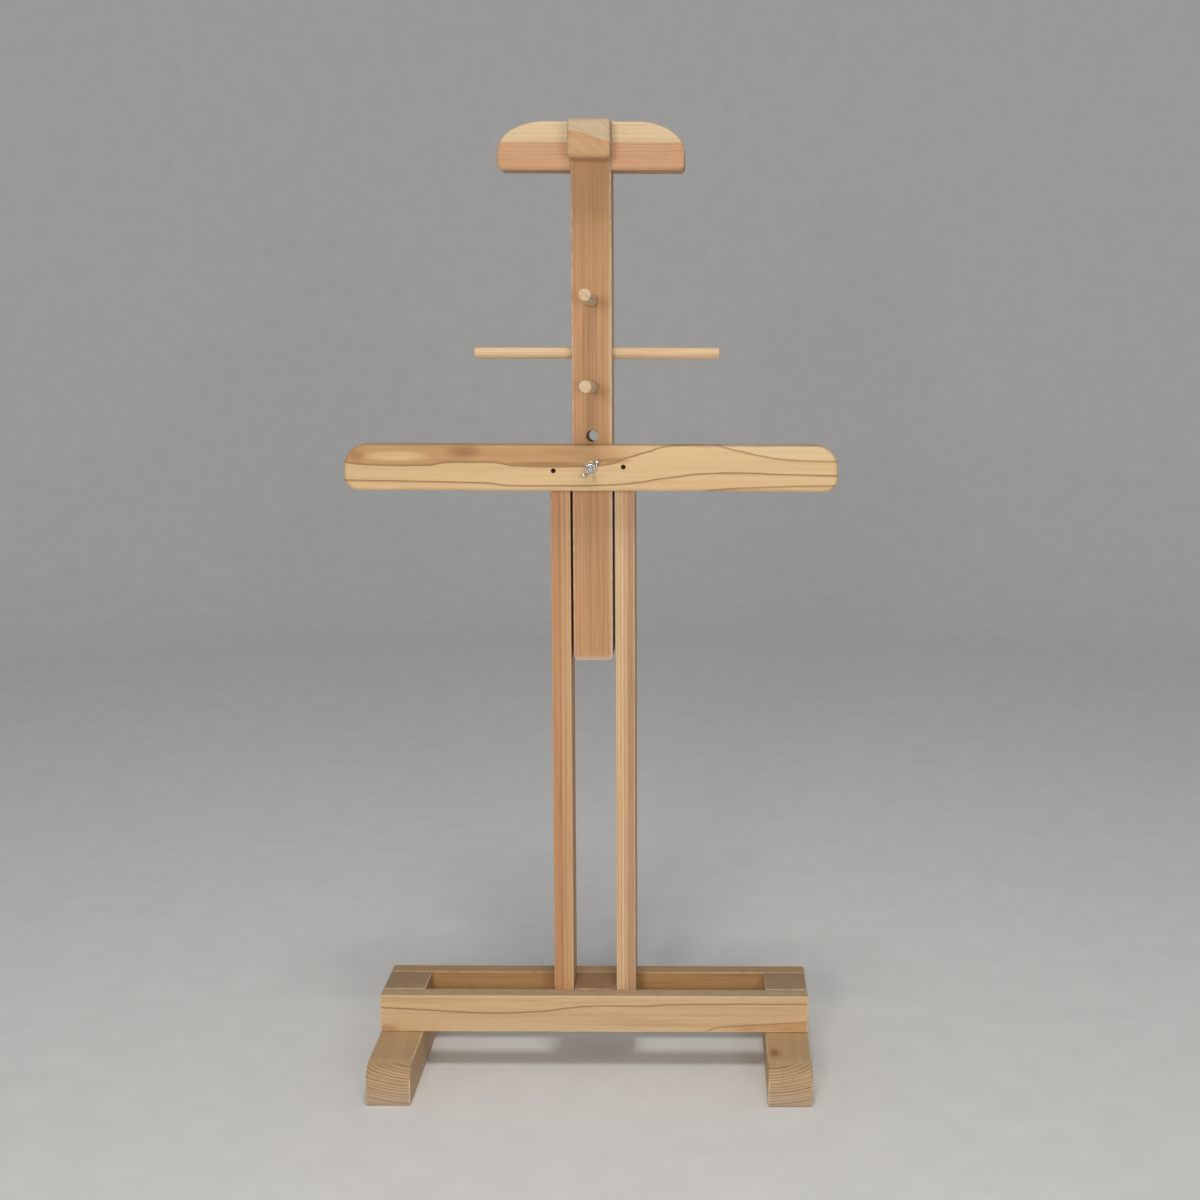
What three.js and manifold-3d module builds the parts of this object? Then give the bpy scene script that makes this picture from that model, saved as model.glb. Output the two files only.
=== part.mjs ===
// Wooden stand for a suit of armour: a low base frame on two foot boards, two uprights with a shoulder bar,
// and a post between them that carries the cross-shaped head, a cross dowel and two pegs.
// Millimetres, +Z up, +X to the viewer's right, -Y towards the viewer. The origin is on the floor, at the
// middle of the base.

import * as THREE from 'three';
import { mergeVertices } from 'three/addons/utils/BufferGeometryUtils.js';
import Module from 'manifold-3d';

const wasm = await Module();
wasm.setup();

// Driving dimensions
const GLUE_GAP = 0.3;           // left between pieces that meet
const EDGE = 1.0;               // how far a planed edge is eased
const CORNER_EXTRA = 0.5;       // a board's corners are this much rounder than its edges
const PASS = 1;                 // how far a saw or drill runs past the wood it cuts

const FRAME_WIDTH = 452;        // base frame, left to right
const RAIL_THICKNESS = 20;
const RAIL_HEIGHT = 40;
const RAIL_SPACING = 52;        // clear distance between the two rails

const FOOT_WIDTH = 45;
const FOOT_HEIGHT = 41.7;
const TOE_REACH = 93;           // foot board beyond the rail, in front and behind
const TOE_ROUND_LENGTH = 27;    // quarter ellipse on top of each toe
const TOE_ROUND_HEIGHT = 19;
const FOOT_EDGE = 1.8;

const UPRIGHT_WIDTH = 20.3;
const UPRIGHT_SPACING = 45.7;   // clear distance between the two uprights
const UPRIGHT_TOP = 654;

const POST_WIDTH = 40.5;
const POST_DEPTH = 51.4;        // as deep as the uprights; the crossbar of the head matches it
const POST_BOTTOM = 438;
const POST_CORNER = 5;          // rounding of the post's two lower corners

const BAR_LENGTH = 498;         // shoulder bar
const BAR_HEIGHT = 46.5;
const BAR_DEPTH = 24;
const BAR_BOTTOM = 616;
const BAR_UPPER_ROUND = 23;     // corner radii at the bar's ends
const BAR_LOWER_ROUND = 14;
const BAR_EDGE = 3.5;

const HEAD_LENGTH = 187;        // crossbar of the head
const HEAD_BOTTOM = 934;
const HEAD_HEIGHT = 47.5;
const HEAD_ROUND_LENGTH = 46;   // quarter ellipse on the crossbar's upper ends
const HEAD_ROUND_HEIGHT = 31;
const HEAD_LOWER_ROUND = 5;
const HEAD_EDGE = 2.8;

const BROW_WIDTH = 41.8;        // bar of the head that runs front to back
const BROW_HEIGHT = 38;
const BROW_REACH = 38;          // beyond the crossbar, in front and behind
const BROW_ROUND_LENGTH = 10;   // quarter ellipse on top of each end
const BROW_ROUND_HEIGHT = 11;
const BROW_LOWER_ROUND = 4;
const BROW_EDGE = 2.4;

const DOWEL_DIAMETER = 12;
const DOWEL_EDGE = 0.8;
const CROSS_DOWEL_LENGTH = 250;
const CROSS_DOWEL_HEIGHT = 753;
const CROSS_DOWEL_OFFSET = 4;   // the dowel sits a little right of the post's centre
const PEG_HEIGHTS = { peg_upper: 806, peg_lower: 719.5 };
const PEG_REACH = 110;          // in front of the post
const PEG_BACK_INSET = 0.8;     // the peg's root stops short of the post's back
const PEG_RISE = THREE.MathUtils.degToRad(2.5);
const SPARE_HOLE_HEIGHT = 670;

const BOLT_DIAMETER = 6;
const BOLT_HEIGHT = 640;
const BOLT_TIP = 16.5;          // in front of the shoulder bar
const BOLT_HEAD_WIDTH = 10;     // across the flats
const BOLT_HEAD_HEIGHT = 4;
const BOLT_END_BEVEL = 1;
const BOLT_CLEARANCE = 0.3;
const WASHER_DIAMETER = 18;
const FRONT_WASHER_DIAMETER = 13;
const WASHER_THICKNESS = 1.6;
const WASHER_EDGE = 0.3;
const POST_RAISE = 16;          // how far the post slides up and down on the bolt
const POST_LOWER = 12;
const SLOT_END_CLEARANCE = 0.6;

const NUT_BASE_DIAMETER = 12;
const NUT_BASE_HEIGHT = 1.2;
const NUT_SHOULDER_HEIGHT = 2.6;  // where the slope from the base meets the neck
const NUT_NECK_DIAMETER = 9;
const NUT_NECK_TAPER = 0.4;     // the neck is this much wider, on the radius, at its shoulder
const NUT_CROWN = 0.8;          // bevel at the front of the neck
const NUT_HEIGHT = 8;
const WING_SPAN = 26;
const WING_HEIGHT = 12;         // how far the wing tips stand in front of the washer
const WING_THICKNESS = 2;
const WING_EDGE = 0.5;
const WING_ROOT_DEPTH = 1.2;    // how far a wing is sunk in the neck
const WING_TIP_RADIUS = 3.2;
const WING_ROOT_TOP = 6.6;      // where the wing's upper edge meets the neck
const WING_LOWER_BEND = { fromTip: 3.5, height: 2.4 };    // the points that its curved edges bend towards
const WING_UPPER_BEND = { fromRoot: 2.6, height: 7.4 };
const WING_LOWER_END = { fromTip: 0.6, belowTipCentre: 1.2 };
const WING_TIP_ARC = { start: -0.35, end: 0.8 * Math.PI };
const WING_ANGLE = THREE.MathUtils.degToRad(46);

const SCREW_PLACES = {          // slim screws that hold the shoulder bar on the uprights
  shoulder_screw_left: { x: -38, z: 636.5 },
  shoulder_screw_right: { x: 32.5, z: 640.5 },
};
const SCREW_HEAD_DIAMETER = 4.2;
const SCREW_SHANK_DIAMETER = 3;
const SCREW_LENGTH = 42;
const SCREW_SINK = 2.5;         // head below the bar's face
const SCREW_HEAD_HEIGHT = 2.5;
const SCREW_HEAD_EDGE = 0.4;
const SCREW_NECK = 1;           // length of the cone between head and shank
const SCREW_POINT = 4;

// Places worked out from the dimensions
const railInnerY = RAIL_SPACING / 2;
const railOuterY = railInnerY + RAIL_THICKNESS;
const railBottom = FOOT_HEIGHT + GLUE_GAP;
const railTop = railBottom + RAIL_HEIGHT;
const blockDepth = RAIL_SPACING - 2 * GLUE_GAP;
const faceY = -blockDepth / 2;            // front face of the uprights, the post and the crossbar
const barBackY = faceY - GLUE_GAP;
const barFrontY = barBackY - BAR_DEPTH;
const postBackY = faceY + POST_DEPTH;
const postMidY = faceY + POST_DEPTH / 2;
const uprightX = UPRIGHT_SPACING / 2 + UPRIGHT_WIDTH / 2;
const footX = (FRAME_WIDTH - FOOT_WIDTH) / 2;
const footLength = 2 * (railOuterY + TOE_REACH);
const headTop = HEAD_BOTTOM + HEAD_HEIGHT;
const browBottom = headTop - BROW_HEIGHT;
const lapHeight = browBottom + BROW_HEIGHT / 2;   // where the crossbar and the brow bar lap
const boltBore = BOLT_DIAMETER / 2 + BOLT_CLEARANCE;

// Facets round a turned piece
const FACETS = 32;
const STEEL_FACETS = 24;
const SCREW_FACETS = 16;

// Facets in each curve of a board's outline
const EASED_FACETS = 1;
const CORNER_FACETS = 4;
const BAR_FACETS = 6;
const SLOT_FACETS = 8;
const TOE_FACETS = 8;
const HEAD_FACETS = 10;
const WING_FACETS = 6;

// Materials
function wood(name, color, roughness = 0.62) {
  const material = new THREE.MeshStandardMaterial({ color, roughness, metalness: 0 });
  material.name = name;
  return material;
}

function steel(name, color, roughness) {
  const material = new THREE.MeshStandardMaterial({ color, roughness, metalness: 1 });
  material.name = name;
  return material;
}

const pineRail = wood('pine_rail', 0xc9a579);
const pineFoot = wood('pine_foot', 0xc7a276);
const pineBlock = wood('pine_block', 0xa98c6c);
const pineUpright = wood('pine_upright', 0xcb9c70);
const pineBar = wood('pine_bar', 0xcaa778);
const pinePost = wood('pine_post', 0xb98a60);
const pineHead = wood('pine_head', 0xd3ac80);
const dowelWood = wood('dowel', 0xd8bd92, 0.55);
const zinc = steel('zinc', 0xb9bab6, 0.35);
const darkScrew = steel('screw_steel', 0x5a4a38, 0.5);

// Solids
const MERGE_DISTANCE = 1e-4;

function solidOf(geometry) {
  const bare = geometry.index ? geometry.toNonIndexed() : geometry.clone();
  bare.deleteAttribute('normal');
  bare.deleteAttribute('uv');
  const merged = mergeVertices(bare, MERGE_DISTANCE);
  return new wasm.Manifold(new wasm.Mesh({
    numProp: 3,
    vertProperties: new Float32Array(merged.attributes.position.array),
    triVerts: new Uint32Array(merged.index.array),
  }));
}

function geometryOf(solid) {
  const mesh = solid.getMesh();
  const geometry = new THREE.BufferGeometry();
  geometry.setAttribute('position', new THREE.BufferAttribute(new Float32Array(mesh.vertProperties), 3));
  geometry.setIndex(new THREE.BufferAttribute(new Uint32Array(mesh.triVerts), 1));
  return geometry;
}

function cut(geometry, tools) {
  let solid = solidOf(geometry);
  for (const tool of tools) {
    solid = solid.subtract(solidOf(tool));
  }
  return geometryOf(solid);
}

function join(geometries) {
  let solid = solidOf(geometries[0]);
  for (const other of geometries.slice(1)) {
    solid = solid.add(solidOf(other));
  }
  return geometryOf(solid);
}

// Outlines. A corner is [run along the first axis, run along the second] of a quarter ellipse.
function cornered(left, right, bottom, top, corners) {
  const [lowLeft, lowRight, highRight, highLeft] = corners;
  const quarter = Math.PI / 2;
  const shape = new THREE.Shape();
  const round = (x, y, corner, start) => {
    shape.absellipse(x, y, corner[0], corner[1], start, start + quarter, false);
  };
  shape.moveTo(left + lowLeft[0], bottom);
  shape.lineTo(right - lowRight[0], bottom);
  round(right - lowRight[0], bottom + lowRight[1], lowRight, -quarter);
  shape.lineTo(right, top - highRight[1]);
  round(right - highRight[0], top - highRight[1], highRight, 0);
  shape.lineTo(left + highLeft[0], top);
  round(left + highLeft[0], top - highLeft[1], highLeft, quarter);
  shape.lineTo(left, bottom + lowLeft[1]);
  round(left + lowLeft[0], bottom + lowLeft[1], lowLeft, 2 * quarter);
  return shape;
}

function sameCorner(size) {
  return [size, size];
}

// A board cut to an outline, with its edges eased. It starts at the outline's plane and grows along +Z.
function board(shape, thickness, ease, curveSegments) {
  const wideEase = 1.5;
  return new THREE.ExtrudeGeometry(shape, {
    depth: thickness - 2 * ease,
    curveSegments,
    bevelEnabled: true,
    bevelThickness: ease,
    bevelSize: ease,
    bevelOffset: -ease,
    bevelSegments: ease > wideEase ? 3 : 1,
  }).translate(0, 0, ease);
}

// Outline in X and Z, thickness from frontY backwards.
function boardAcross(shape, frontY, depth, ease, curveSegments) {
  return board(shape, depth, ease, curveSegments).rotateX(Math.PI / 2).translate(0, frontY + depth, 0);
}

// Outline in Y and Z, width centred on x.
function boardFrontToBack(shape, x, width, ease, curveSegments) {
  return board(shape, width, ease, curveSegments)
    .rotateX(Math.PI / 2)
    .rotateZ(Math.PI / 2)
    .translate(x - width / 2, 0, 0);
}

function block(lowX, highX, lowY, highY, lowZ, highZ) {
  const corner = sameCorner(EDGE + CORNER_EXTRA);
  const shape = cornered(lowX, highX, lowZ, highZ, [corner, corner, corner, corner]);
  return boardAcross(shape, lowY, highY - lowY, EDGE, EASED_FACETS);
}

function cutter(lowX, highX, lowY, highY, lowZ, highZ) {
  return new THREE.BoxGeometry(highX - lowX, highY - lowY, highZ - lowZ)
    .translate((lowX + highX) / 2, (lowY + highY) / 2, (lowZ + highZ) / 2);
}

// Turned pieces: profile points are [radius, distance along the axis].
function turned(profile, segments = FACETS) {
  const points = profile.map(([radius, place]) => new THREE.Vector2(radius, place));
  return new THREE.LatheGeometry(points, segments);
}

function dowel(radius, length) {
  return turned([
    [0, 0],
    [radius - DOWEL_EDGE, 0],
    [radius, DOWEL_EDGE],
    [radius, length - DOWEL_EDGE],
    [radius - DOWEL_EDGE, length],
    [0, length],
  ]);
}

function ring(innerRadius, outerRadius, thickness) {
  return turned([
    [innerRadius, 0],
    [outerRadius - WASHER_EDGE, 0],
    [outerRadius, WASHER_EDGE],
    [outerRadius, thickness - WASHER_EDGE],
    [outerRadius - WASHER_EDGE, thickness],
    [innerRadius, thickness],
    [innerRadius, 0],
  ]);
}

// A plain round tool for a bolt's hole, from start to end along its axis.
function drill(radius, start, end) {
  return turned([[0, start], [radius, start], [radius, end], [0, end]], STEEL_FACETS);
}

// The lathe's own axis is +Y. These turn it to point at the viewer and put its start at y.
function facingViewer(geometry, x, y, z) {
  return geometry.rotateZ(Math.PI).translate(x, y, z);
}

// A rod along a peg's axis, which crosses the post's front face at the given height.
function alongPeg(radius, fromBack, reach, height) {
  return dowel(radius, fromBack + reach)
    .rotateZ(Math.PI)
    .translate(0, fromBack, 0)
    .rotateX(-PEG_RISE)
    .translate(0, faceY, height);
}

const group = new THREE.Group();

function addPart(name, geometry, material) {
  const mesh = new THREE.Mesh(geometry, material);
  mesh.name = name;
  group.add(mesh);
  return mesh;
}

// Base frame
function addBase() {
  const half = FRAME_WIDTH / 2;
  addPart('rail_front', block(-half, half, -railOuterY, -railInnerY, railBottom, railTop), pineRail);
  addPart('rail_back', block(-half, half, railInnerY, railOuterY, railBottom, railTop), pineRail);

  const toeTop = [TOE_ROUND_LENGTH, TOE_ROUND_HEIGHT];
  const toeSole = sameCorner(FOOT_EDGE + CORNER_EXTRA);
  const corners = [toeSole, toeSole, toeTop, toeTop];
  for (const [name, side] of [['foot_left', -1], ['foot_right', 1]]) {
    const outline = cornered(-footLength / 2, footLength / 2, 0, FOOT_HEIGHT, corners);
    addPart(name, boardFrontToBack(outline, side * footX, FOOT_WIDTH, FOOT_EDGE, TOE_FACETS), pineFoot);
  }

  for (const [name, side] of [['end_block_left', -1], ['end_block_right', 1]]) {
    const centre = side * footX;
    const geometry = block(centre - FOOT_WIDTH / 2, centre + FOOT_WIDTH / 2,
      -blockDepth / 2, blockDepth / 2, railBottom, railTop);
    addPart(name, geometry, pineBlock);
  }

  const centreHalf = UPRIGHT_SPACING / 2 - GLUE_GAP;
  const centre = block(-centreHalf, centreHalf, -blockDepth / 2, blockDepth / 2, railBottom, railTop);
  addPart('centre_block', centre, pineBlock);
}

// Screw: a slim sunk head and a pointed shank, driven from the bar's face into the upright
function screwGeometry() {
  const head = SCREW_HEAD_DIAMETER / 2;
  const shank = SCREW_SHANK_DIAMETER / 2;
  return turned([
    [0, -SCREW_LENGTH],
    [shank, -SCREW_LENGTH + SCREW_POINT],
    [shank, -SCREW_HEAD_HEIGHT - SCREW_NECK],
    [head, -SCREW_HEAD_HEIGHT],
    [head, -SCREW_HEAD_EDGE],
    [head - SCREW_HEAD_EDGE, 0],
    [0, 0],
  ], SCREW_FACETS);
}

function screwBore() {
  const head = SCREW_HEAD_DIAMETER / 2 + GLUE_GAP;
  const shank = SCREW_SHANK_DIAMETER / 2 + GLUE_GAP;
  return turned([
    [0, -SCREW_LENGTH - PASS],
    [shank, -SCREW_LENGTH - PASS],
    [shank, -SCREW_HEAD_HEIGHT - SCREW_NECK - GLUE_GAP],
    [head, -SCREW_HEAD_HEIGHT - GLUE_GAP],
    [head, SCREW_SINK + PASS],
    [0, SCREW_SINK + PASS],
  ], SCREW_FACETS);
}

function placeScrew(geometry, place) {
  return facingViewer(geometry, place.x, barFrontY + SCREW_SINK, place.z);
}

// Uprights and shoulder bar
function addUprightsAndBar() {
  for (const side of [-1, 1]) {
    const name = side < 0 ? 'upright_left' : 'upright_right';
    const screw = side < 0 ? 'shoulder_screw_left' : 'shoulder_screw_right';
    const lowX = side * uprightX - UPRIGHT_WIDTH / 2;
    const solid = block(lowX, lowX + UPRIGHT_WIDTH, -blockDepth / 2, blockDepth / 2,
      railBottom, UPRIGHT_TOP);
    addPart(name, cut(solid, [placeScrew(screwBore(), SCREW_PLACES[screw])]), pineUpright);
    addPart(screw, placeScrew(screwGeometry(), SCREW_PLACES[screw]), darkScrew);
  }

  const upper = sameCorner(BAR_UPPER_ROUND);
  const lower = sameCorner(BAR_LOWER_ROUND);
  const half = BAR_LENGTH / 2;
  const outline = cornered(-half, half, BAR_BOTTOM, BAR_BOTTOM + BAR_HEIGHT, [lower, lower, upper, upper]);
  const bar = boardAcross(outline, barFrontY, BAR_DEPTH, BAR_EDGE, BAR_FACETS);
  const bores = [facingViewer(drill(boltBore, -PASS, BAR_DEPTH + PASS), 0, barBackY, BOLT_HEIGHT)];
  for (const place of Object.values(SCREW_PLACES)) {
    bores.push(placeScrew(screwBore(), place));
  }
  addPart('shoulder_bar', cut(bar, bores), pineBar);
}

// The round-ended slot that the clamping bolt runs in, cut through the post from front to back
function boltSlot() {
  const top = BOLT_HEIGHT + POST_LOWER + SLOT_END_CLEARANCE;
  const bottom = BOLT_HEIGHT - POST_RAISE - SLOT_END_CLEARANCE;
  const outline = new THREE.Shape();
  outline.absarc(0, top, boltBore, 0, Math.PI, false);
  outline.absarc(0, bottom, boltBore, Math.PI, 2 * Math.PI, false);
  const depth = POST_DEPTH + 2 * PASS;
  return new THREE.ExtrudeGeometry(outline, { depth, bevelEnabled: false, curveSegments: SLOT_FACETS })
    .rotateX(Math.PI / 2)
    .translate(0, postBackY + PASS, 0);
}

// Post, with its peg holes, the hole of the cross dowel and the bolt's slot
function addPost() {
  const half = POST_WIDTH / 2;
  const lowCorner = sameCorner(POST_CORNER);
  const topCorner = sameCorner(EDGE + CORNER_EXTRA);
  const tongueTop = lapHeight - 2 * GLUE_GAP;
  const outline = cornered(-half, half, POST_BOTTOM, tongueTop,
    [lowCorner, lowCorner, topCorner, topCorner]);
  const blank = boardAcross(outline, faceY, POST_DEPTH, EDGE, CORNER_FACETS);

  const dowelRadius = DOWEL_DIAMETER / 2;
  const gluedHole = dowelRadius + GLUE_GAP;
  const drillPass = 4 * PASS;
  const tools = [
    cutter(-half - PASS, half + PASS, postMidY, postBackY + PASS, HEAD_BOTTOM - GLUE_GAP, tongueTop + PASS),
    alongPeg(dowelRadius, POST_DEPTH + drillPass, drillPass, SPARE_HOLE_HEIGHT),
    dowel(gluedHole, POST_WIDTH + 2 * drillPass)
      .rotateZ(-Math.PI / 2)
      .translate(-half - drillPass, postMidY, CROSS_DOWEL_HEIGHT),
    boltSlot(),
  ];
  for (const height of Object.values(PEG_HEIGHTS)) {
    tools.push(alongPeg(gluedHole, POST_DEPTH + drillPass, drillPass, height));
  }
  addPart('post', cut(blank, tools), pinePost);
}

// Pegs and cross dowel, which carry the sleeves and the waist plates
function addDowels() {
  const radius = DOWEL_DIAMETER / 2;
  for (const [name, height] of Object.entries(PEG_HEIGHTS)) {
    addPart(name, alongPeg(radius, POST_DEPTH - PEG_BACK_INSET, PEG_REACH, height), dowelWood);
  }
  const crossDowel = dowel(radius, CROSS_DOWEL_LENGTH)
    .rotateZ(-Math.PI / 2)
    .translate(CROSS_DOWEL_OFFSET - CROSS_DOWEL_LENGTH / 2, postMidY, CROSS_DOWEL_HEIGHT);
  addPart('cross_dowel', crossDowel, dowelWood);
}

// Head: the crossbar is housed over the post's tongue, and the brow bar laps across it, tops level
function addHead() {
  const upper = [HEAD_ROUND_LENGTH, HEAD_ROUND_HEIGHT];
  const lower = sameCorner(HEAD_LOWER_ROUND);
  const half = HEAD_LENGTH / 2;
  const outline = cornered(-half, half, HEAD_BOTTOM, headTop, [lower, lower, upper, upper]);
  const blank = boardAcross(outline, faceY, POST_DEPTH, HEAD_EDGE, HEAD_FACETS);
  const browHalf = BROW_WIDTH / 2 + GLUE_GAP;
  const tongueHalf = POST_WIDTH / 2 + GLUE_GAP;
  const crossbar = cut(blank, [
    cutter(-browHalf, browHalf, faceY - PASS, postBackY + PASS, lapHeight - GLUE_GAP, headTop + PASS),
    cutter(-tongueHalf, tongueHalf, faceY - PASS, postMidY + GLUE_GAP, HEAD_BOTTOM - PASS, lapHeight),
  ]);
  addPart('head_crossbar', crossbar, pineHead);

  const browTop = [BROW_ROUND_LENGTH, BROW_ROUND_HEIGHT];
  const browLow = sameCorner(BROW_LOWER_ROUND);
  const browOutline = cornered(faceY - BROW_REACH, postBackY + BROW_REACH, browBottom, headTop,
    [browLow, browLow, browTop, browTop]);
  const browBlank = boardFrontToBack(browOutline, 0, BROW_WIDTH, BROW_EDGE, HEAD_FACETS);
  const housing = cutter(-BROW_WIDTH, BROW_WIDTH, faceY - GLUE_GAP, postBackY + GLUE_GAP,
    browBottom - PASS, lapHeight);
  addPart('head_brow_bar', cut(browBlank, [housing]), pineHead);
}

// Clamping bolt: a hexagon head behind the post and a plain shank that reaches out of the shoulder bar
function boltGeometry(length) {
  const radius = BOLT_DIAMETER / 2;
  const sunkInHead = 0.5;
  const shank = turned([
    [0, -sunkInHead],
    [radius, -sunkInHead],
    [radius, length - BOLT_END_BEVEL],
    [radius - BOLT_END_BEVEL, length],
    [0, length],
  ], STEEL_FACETS);
  const hexRadius = BOLT_HEAD_WIDTH / Math.sqrt(3);
  const head = new THREE.CylinderGeometry(hexRadius, hexRadius, BOLT_HEAD_HEIGHT, 6)
    .translate(0, -BOLT_HEAD_HEIGHT / 2, 0);
  return join([head, shank]);
}

// One wing, drawn in its own plane: it leaves the nut's neck and sweeps out and forward to a round tip.
function wing() {
  const root = NUT_NECK_DIAMETER / 2 - WING_ROOT_DEPTH;
  const tip = WING_SPAN / 2;
  const tipCentre = { x: tip - WING_TIP_RADIUS, y: WING_HEIGHT - WING_TIP_RADIUS };
  const lowerBend = { x: tip - WING_LOWER_BEND.fromTip, y: WING_LOWER_BEND.height };
  const lowerEnd = { x: tip - WING_LOWER_END.fromTip, y: tipCentre.y - WING_LOWER_END.belowTipCentre };
  const upperBend = { x: root + WING_UPPER_BEND.fromRoot, y: WING_UPPER_BEND.height };
  const shape = new THREE.Shape();
  shape.moveTo(root, NUT_BASE_HEIGHT);
  shape.quadraticCurveTo(lowerBend.x, lowerBend.y, lowerEnd.x, lowerEnd.y);
  shape.absarc(tipCentre.x, tipCentre.y, WING_TIP_RADIUS, WING_TIP_ARC.start, WING_TIP_ARC.end, false);
  shape.quadraticCurveTo(upperBend.x, upperBend.y, root, WING_ROOT_TOP);
  const core = WING_THICKNESS - 2 * WING_EDGE;
  return new THREE.ExtrudeGeometry(shape, {
    depth: core,
    curveSegments: WING_FACETS,
    bevelEnabled: true,
    bevelThickness: WING_EDGE,
    bevelSize: WING_EDGE,
    bevelOffset: -WING_EDGE,
    bevelSegments: 2,
  }).translate(0, 0, -core / 2);
}

function wingNut() {
  const base = NUT_BASE_DIAMETER / 2;
  const neck = NUT_NECK_DIAMETER / 2;
  const body = turned([
    [0, 0],
    [base, 0],
    [base, NUT_BASE_HEIGHT],
    [neck + NUT_NECK_TAPER, NUT_SHOULDER_HEIGHT],
    [neck, NUT_HEIGHT - NUT_CROWN],
    [neck - NUT_CROWN, NUT_HEIGHT],
    [0, NUT_HEIGHT],
  ]);
  const nut = join([body, wing(), wing().rotateY(Math.PI)]);
  return cut(nut, [drill(boltBore, -PASS, WING_HEIGHT + PASS)]).rotateY(WING_ANGLE);
}

// Clamp: the bolt comes through the post and the bar from behind, and the wing nut draws them together
function addClamp() {
  const backWasherFrontY = postBackY + GLUE_GAP;
  const backWasherBackY = backWasherFrontY + WASHER_THICKNESS;
  const headY = backWasherBackY + GLUE_GAP;
  const bolt = boltGeometry(headY - (barFrontY - BOLT_TIP));
  addPart('clamp_bolt', facingViewer(bolt, 0, headY, BOLT_HEIGHT), zinc);

  const backWasher = ring(boltBore, WASHER_DIAMETER / 2, WASHER_THICKNESS);
  addPart('washer_back', facingViewer(backWasher, 0, backWasherBackY, BOLT_HEIGHT), zinc);

  const frontWasherY = barFrontY - GLUE_GAP;
  const frontWasher = ring(boltBore, FRONT_WASHER_DIAMETER / 2, WASHER_THICKNESS);
  addPart('washer_front', facingViewer(frontWasher, 0, frontWasherY, BOLT_HEIGHT), zinc);

  const nutY = frontWasherY - WASHER_THICKNESS - GLUE_GAP;
  addPart('wing_nut', facingViewer(wingNut(), 0, nutY, BOLT_HEIGHT), zinc);
}

addBase();
addUprightsAndBar();
addPost();
addDowels();
addHead();
addClamp();

export default group;
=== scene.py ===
# Looks of a wooden armour stand: eased boards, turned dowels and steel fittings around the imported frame.
# Metres, +Z up, +X to the viewer's right, -Y towards the viewer. Lengths are written in millimetres, as
# value * MM, and the node materials work in millimetres throughout.
import math

import bmesh
import bpy
from mathutils import Matrix, Vector, noise


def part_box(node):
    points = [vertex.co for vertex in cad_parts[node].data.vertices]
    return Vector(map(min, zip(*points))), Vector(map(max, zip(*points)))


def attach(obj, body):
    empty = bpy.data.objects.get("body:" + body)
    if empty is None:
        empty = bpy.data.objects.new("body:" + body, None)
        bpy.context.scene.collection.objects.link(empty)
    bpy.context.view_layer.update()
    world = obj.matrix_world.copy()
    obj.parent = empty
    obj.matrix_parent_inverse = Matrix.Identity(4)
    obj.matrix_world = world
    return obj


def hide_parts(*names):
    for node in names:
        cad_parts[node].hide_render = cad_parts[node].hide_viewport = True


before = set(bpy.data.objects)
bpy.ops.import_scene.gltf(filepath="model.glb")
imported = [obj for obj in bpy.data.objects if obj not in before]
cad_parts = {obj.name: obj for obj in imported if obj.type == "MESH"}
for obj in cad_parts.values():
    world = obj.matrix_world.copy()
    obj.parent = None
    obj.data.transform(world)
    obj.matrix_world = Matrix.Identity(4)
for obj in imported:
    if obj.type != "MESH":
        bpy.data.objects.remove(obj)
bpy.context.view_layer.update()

MM = 0.001
AXES = "xyz"
GLUE_GAP = 0.3 * MM            # between pieces that meet

# Places that the frame's boxes don't give
HEAD_BOTTOM = 934 * MM         # underside of the head's crossbar
LAP = 962.5 * MM               # where the crossbar and the brow bar lap
BOLT_HEIGHT = 640 * MM
BOLT_BORE = 3.3 * MM
SLOT_TOP = 652.6 * MM          # centres of the slot's round ends
SLOT_BOTTOM = 623.4 * MM
PEG_HEIGHTS = {"peg_upper": 806 * MM, "peg_lower": 719.5 * MM}
SPARE_HOLE_HEIGHT = 670 * MM
PEG_RISE = math.radians(2.5)
DOWEL_RADIUS = 6 * MM
DOWEL_CLEARANCE = 0.15 * MM
WING_ANGLE = math.radians(46)

# Finish of the woodwork
EDGE = 1.1 * MM                # how far a planed edge is eased
FOOT_EDGE = 1.8 * MM
BAR_EDGE = 3.5 * MM
HEAD_EDGE = 2.8 * MM
BROW_EDGE = 2.4 * MM
CAP_RING = 0.3 * MM            # flat ring that keeps a face's shading level up to its edge
WEAR = 0.3                     # how much the easing varies along an edge, as a share of it
CORNER = 1.75                  # a board's corner radius, as a multiple of its easing
ROUND_STEPS = 5                # segments across an eased edge
STRAIGHT_STEP = 7 * MM         # spacing of points along a straight edge
ARC_STEP = 1.6 * MM            # spacing of points along a curved edge
SHARP = math.radians(38)

# Camera
IMAGE_SIDE = 1200
FOCAL_PIXELS = 1855
SENSOR = 36
PRINCIPAL_X = 701              # the picture is cropped, so its middle is left of where the camera looks
CAMERA_PLACE = Vector((0.1112, -1.9144, 0.7959))
CAMERA_PITCH = 0.1545
CAMERA_ROLL = 0.0035


def add_camera():
    data = bpy.data.cameras.new("camera")
    data.sensor_width = SENSOR
    data.lens = FOCAL_PIXELS / IMAGE_SIDE * SENSOR
    data.shift_x = (IMAGE_SIDE / 2 - PRINCIPAL_X) / IMAGE_SIDE
    camera = bpy.data.objects.new("camera", data)
    turn = Matrix.Rotation(math.pi / 2 - CAMERA_PITCH, 4, "X") @ Matrix.Rotation(CAMERA_ROLL, 4, "Z")
    camera.matrix_world = Matrix.Translation(CAMERA_PLACE) @ turn
    bpy.context.scene.collection.objects.link(camera)
    bpy.context.scene.camera = camera


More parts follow.
